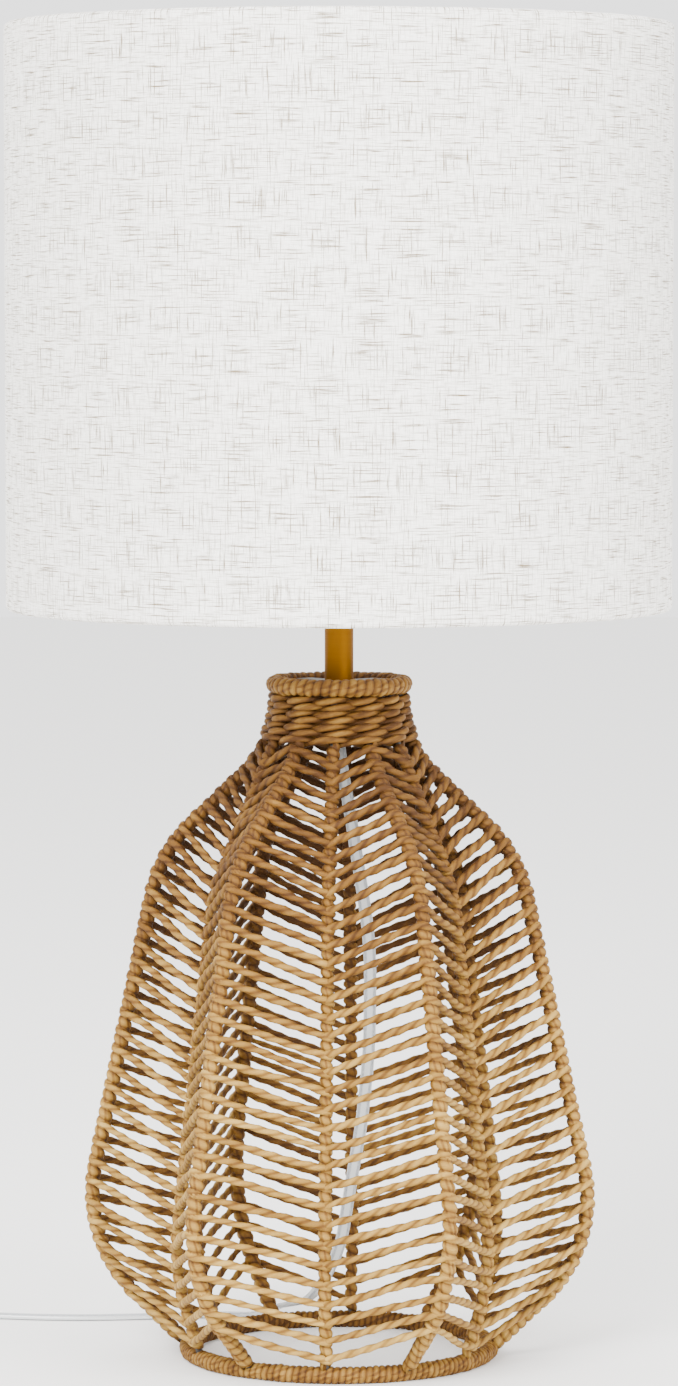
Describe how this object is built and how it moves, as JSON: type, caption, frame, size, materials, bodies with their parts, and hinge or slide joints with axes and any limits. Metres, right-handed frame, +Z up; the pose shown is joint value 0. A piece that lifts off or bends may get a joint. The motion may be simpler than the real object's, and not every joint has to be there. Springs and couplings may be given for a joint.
{
  "type": "table lamp with shade",
  "caption": "Table lamp with a woven rope basket base on a wire frame, a short brass pole and a tall fabric drum shade held by a harp.",
  "frame": {"origin": "centre of the basket's base ring on the table, on the lamp's axis", "axes": "+Z up along the pole, the front of the lamp and its switch knob face -Y, +X to the right seen from the front"},
  "size_m": [0.3975, 0.3, 0.601],
  "materials": {
    "frame_steel": "dull steel wire",
    "paper_rope_wound": "twisted paper rope wound close",
    "paper_rope": "twisted paper rope",
    "satin_brass": "satin",
    "plated_steel": "plated",
    "black_plastic": "moulded",
    "phenolic": "moulded",
    "fibre_card": "pressed card",
    "clear_pvc": "clear",
    "frosted_glass": "frosted",
    "linen": "plain woven linen",
    "styrene": "satin sheet",
    "white_wire": "white enamel"
  },
  "bodies": {
    "base": {"base_ring_wire": "frame_steel", "neck_ring_wire": "frame_steel", "outer_rib_wires": "frame_steel", "inner_rib_wires": "frame_steel", "neck_cross": "frame_steel", "base_ring_wrap": "paper_rope_wound", "neck_ring_wrap": "paper_rope_wound", "neck_weave_outer": "paper_rope_wound", "neck_weave_inner": "paper_rope_wound", "outer_rib_wrap_1": "paper_rope_wound", "outer_rib_wrap_2": "paper_rope_wound", "outer_rib_wrap_3": "paper_rope_wound", "outer_rib_wrap_4": "paper_rope_wound", "outer_rib_wrap_5": "paper_rope_wound", "outer_rib_wrap_6": "paper_rope_wound", "inner_rib_wrap_1": "paper_rope_wound", "inner_rib_wrap_2": "paper_rope_wound", "inner_rib_wrap_3": "paper_rope_wound", "inner_rib_wrap_4": "paper_rope_wound", "inner_rib_wrap_5": "paper_rope_wound", "inner_rib_wrap_6": "paper_rope_wound", "weave_bay_01": "paper_rope", "weave_bay_02": "paper_rope", "weave_bay_03": "paper_rope", "weave_bay_04": "paper_rope", "weave_bay_05": "paper_rope", "weave_bay_06": "paper_rope", "weave_bay_07": "paper_rope", "weave_bay_08": "paper_rope", "weave_bay_09": "paper_rope", "weave_bay_10": "paper_rope", "weave_bay_11": "paper_rope", "weave_bay_12": "paper_rope", "pole": "satin_brass", "threaded_pipe": "plated_steel", "pipe_washer": "plated_steel", "pipe_nut": "satin_brass", "cord_bushing": "black_plastic", "lead_in_pole": "clear_pvc", "harp_saddle": "satin_brass", "socket_cap": "satin_brass", "socket_shell": "satin_brass", "socket_liner": "fibre_card", "socket_core": "phenolic", "cord_drop": "clear_pvc", "cord_coil": "clear_pvc", "plug_body": "clear_pvc", "plug_blades": "plated_steel"},
    "harp": {"harp": "satin_brass"},
    "sleeve_left": {"harp_sleeve_left": "satin_brass"},
    "sleeve_right": {"harp_sleeve_right": "satin_brass"},
    "shade": {"shade_fabric": "linen", "shade_backing": "styrene", "shade_fitter": "white_wire", "shade_bottom_ring": "white_wire"},
    "finial": {"finial": "satin_brass"},
    "bulb": {"bulb_base": "plated_steel", "bulb_glass": "frosted_glass"},
    "switch_knob": {"switch_knob": "black_plastic"}
  },
  "joints": [
    {"name": "harp_lift", "type": "slide", "parent": "base", "child": "harp", "axis": [0, 0, 1], "range_m": [0, 0.015]},
    {"name": "sleeve_left_slide", "type": "slide", "parent": "harp", "child": "sleeve_left", "axis": [0, 0, 1], "range_m": [0, 0.013]},
    {"name": "sleeve_right_slide", "type": "slide", "parent": "harp", "child": "sleeve_right", "axis": [0, 0, 1], "range_m": [0, 0.013]},
    {"name": "shade_turn", "type": "hinge", "parent": "harp", "child": "shade", "pos_m": [0, 0, 0.58], "axis": [0, 0, 1], "continuous": true},
    {"name": "finial_turn", "type": "hinge", "parent": "harp", "child": "finial", "pos_m": [0, 0, 0.585], "axis": [0, 0, 1], "continuous": true},
    {"name": "bulb_out", "type": "slide", "parent": "base", "child": "bulb", "axis": [0, 0, 1], "range_m": [0, 0.025]},
    {"name": "switch_turn", "type": "hinge", "parent": "base", "child": "switch_knob", "pos_m": [0, -0.02, 0.3922], "axis": [0, -1, 0], "continuous": true}
  ]
}
